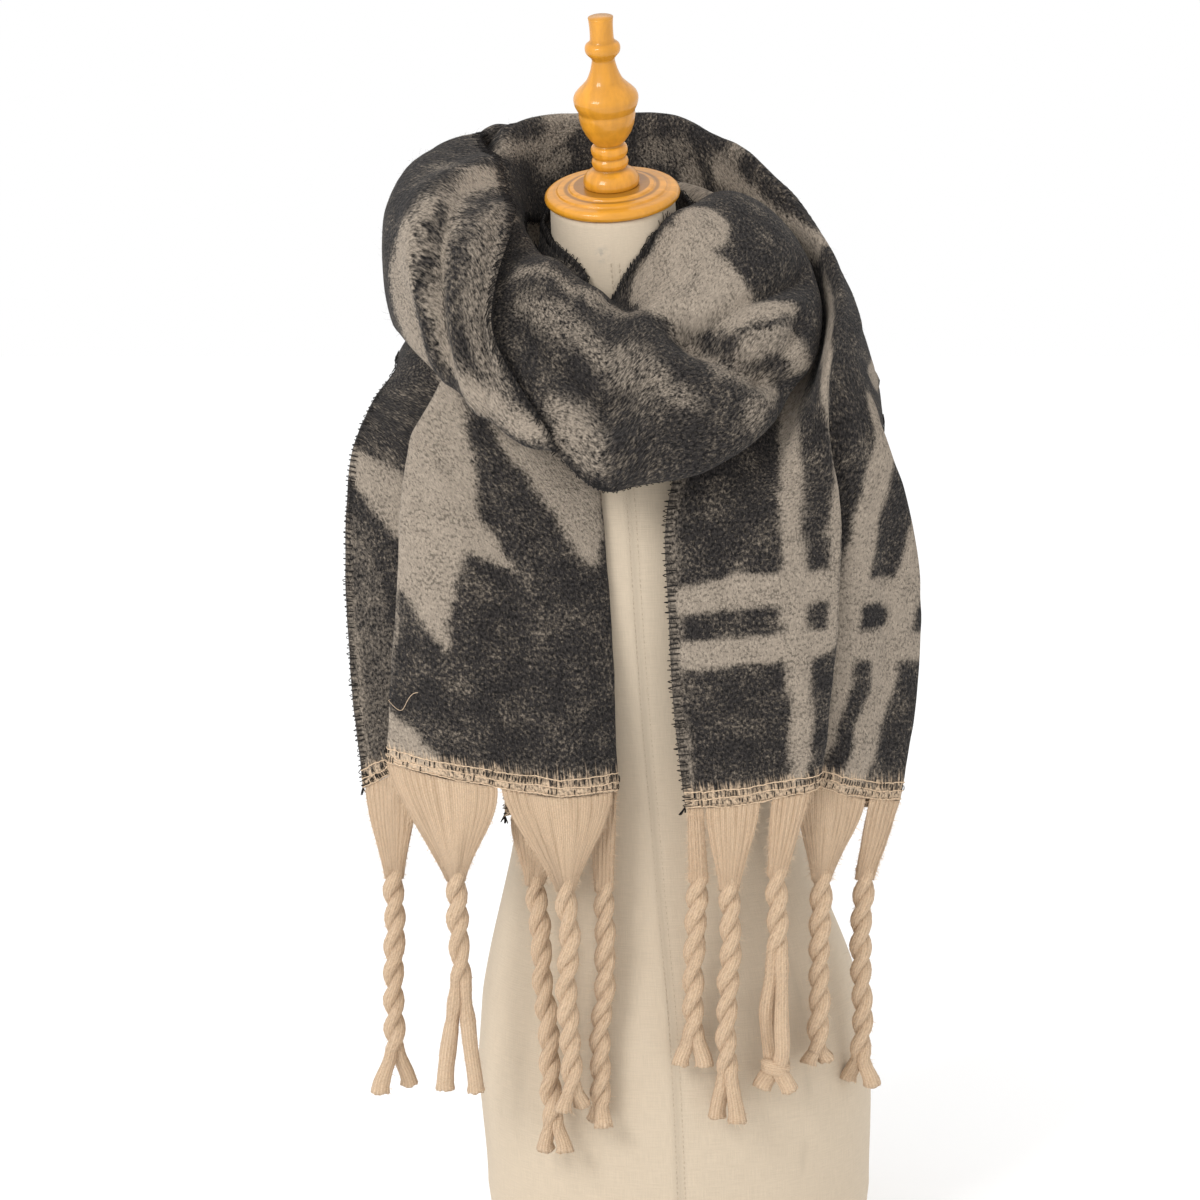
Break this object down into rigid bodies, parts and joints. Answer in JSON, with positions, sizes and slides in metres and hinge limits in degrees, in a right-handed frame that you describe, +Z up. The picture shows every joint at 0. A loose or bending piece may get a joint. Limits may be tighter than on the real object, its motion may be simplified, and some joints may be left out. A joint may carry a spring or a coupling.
{
  "type": "blanket scarf on a dress form",
  "caption": "Wide brushed scarf wound round the neck of a limbless dress form, both ends hanging in front with twisted tassels.",
  "frame": {"origin": "middle of the dress form's flat underside", "axes": "+Z up, -Y the way the form faces, +X to the right of someone who looks at its front"},
  "size_m": [0.4604, 0.3634, 1.0364],
  "materials": {
    "linen": "plain linen cover, matt",
    "varnished_wood": "glossy honey varnish",
    "brushed_cloth": "brushed wool in charcoal and beige, matt",
    "yarn": "twisted beige yarn, matt"
  },
  "bodies": {
    "root": {"form_body": "linen", "neck_cap": "varnished_wood", "finial": "varnished_wood", "tail_left": "brushed_cloth", "neck_inner": "brushed_cloth", "cowl_front": "brushed_cloth", "neck_outer": "brushed_cloth", "tail_right": "brushed_cloth", "tassel_left_1": "yarn", "tassel_left_2": "yarn", "tassel_left_3": "yarn", "tassel_left_4": "yarn", "tassel_left_5": "yarn", "tassel_right_1": "yarn", "tassel_right_2": "yarn", "tassel_right_3": "yarn", "tassel_right_4": "yarn", "tassel_right_5": "yarn"}
  },
  "joints": []
}
